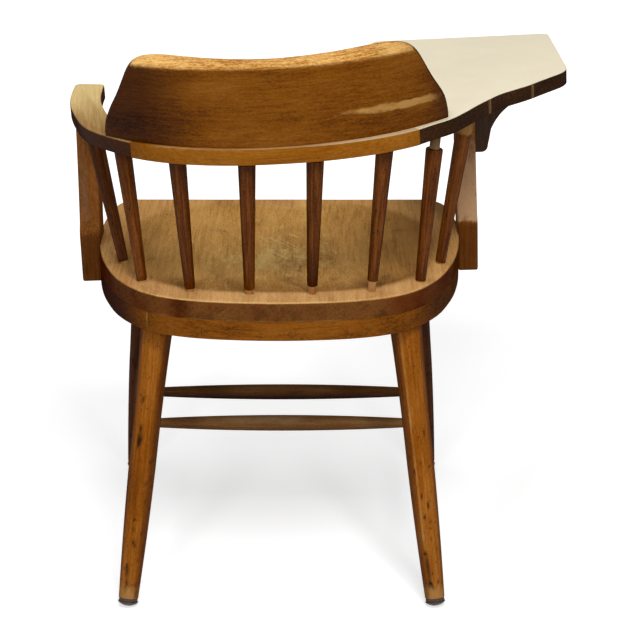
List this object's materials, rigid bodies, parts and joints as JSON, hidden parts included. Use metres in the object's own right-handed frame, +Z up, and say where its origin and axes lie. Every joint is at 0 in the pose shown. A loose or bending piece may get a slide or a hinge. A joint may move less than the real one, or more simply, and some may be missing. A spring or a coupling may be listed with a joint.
{
  "type": "writing arm windsor chair",
  "caption": "Windsor chair with a bow of left arm, rail and writing tablet on spindles, a bent crest, a saddled seat, splayed turned legs and stretchers.",
  "frame": {"origin": "middle of the chair's bounding box, on the floor", "axes": "+Z up, the sitter faces -Y, +X is the sitter's left; the writing tablet is on -X"},
  "size_m": [0.7278, 0.6006, 0.794],
  "materials": {
    "seat_wood": "worn, scratched lacquer, greyed in the middle",
    "rim_wood": "lacquered, crazed",
    "leg_wood": "lacquered, streaked, worn at the foot",
    "stretcher_wood": "dark lacquer, satin",
    "spindle_wood": "lacquered, bare at the tenons",
    "rail_wood": "lacquered, golden",
    "arm_wood": "worn bare on top, dark on the side",
    "tablet_wood": "dark lacquer on its edges",
    "laminate": "cream writing laminate, satin",
    "crest_wood": "dark lacquer, golden along its worn top",
    "post_wood": "lacquered, worn above the shoulder",
    "bracket_wood": "dark lacquer",
    "dowel_wood": "bare",
    "glide_steel": "tarnished",
    "cushion": "matt, aged",
    "screw_steel": "dull"
  },
  "bodies": {
    "root": {"seat_board": "seat_wood", "seat_rim_back": "rim_wood", "seat_rim_left": "rim_wood", "seat_rim_right": "rim_wood", "seat_rim_front": "rim_wood", "stretcher_side_left": "stretcher_wood", "stretcher_side_right": "stretcher_wood", "stretcher_cross_rear": "stretcher_wood", "stretcher_cross_front": "stretcher_wood", "arm_left": "arm_wood", "back_rail": "rail_wood", "tablet_board_arm": "tablet_wood", "tablet_board_middle": "tablet_wood", "tablet_board_outer": "tablet_wood", "tablet_laminate": "laminate", "crest_panel": "crest_wood", "post_left": "post_wood", "post_right": "post_wood", "tablet_bracket": "bracket_wood", "bow_dowels": "dowel_wood", "crest_dowels": "dowel_wood", "post_dowels": "dowel_wood", "post_screws": "screw_steel", "bracket_screws": "screw_steel", "leg_rear_left": "leg_wood", "glide_cap_rear_left": "glide_steel", "glide_cushion_rear_left": "cushion", "leg_rear_right": "leg_wood", "glide_cap_rear_right": "glide_steel", "glide_cushion_rear_right": "cushion", "leg_front_left": "leg_wood", "glide_cap_front_left": "glide_steel", "glide_cushion_front_left": "cushion", "leg_front_right": "leg_wood", "glide_cap_front_right": "glide_steel", "glide_cushion_front_right": "cushion", "spindle_1": "spindle_wood", "spindle_2": "spindle_wood", "spindle_3": "spindle_wood", "spindle_4": "spindle_wood", "spindle_5": "spindle_wood", "spindle_6": "spindle_wood", "spindle_7": "spindle_wood", "spindle_8": "spindle_wood"}
  },
  "joints": []
}
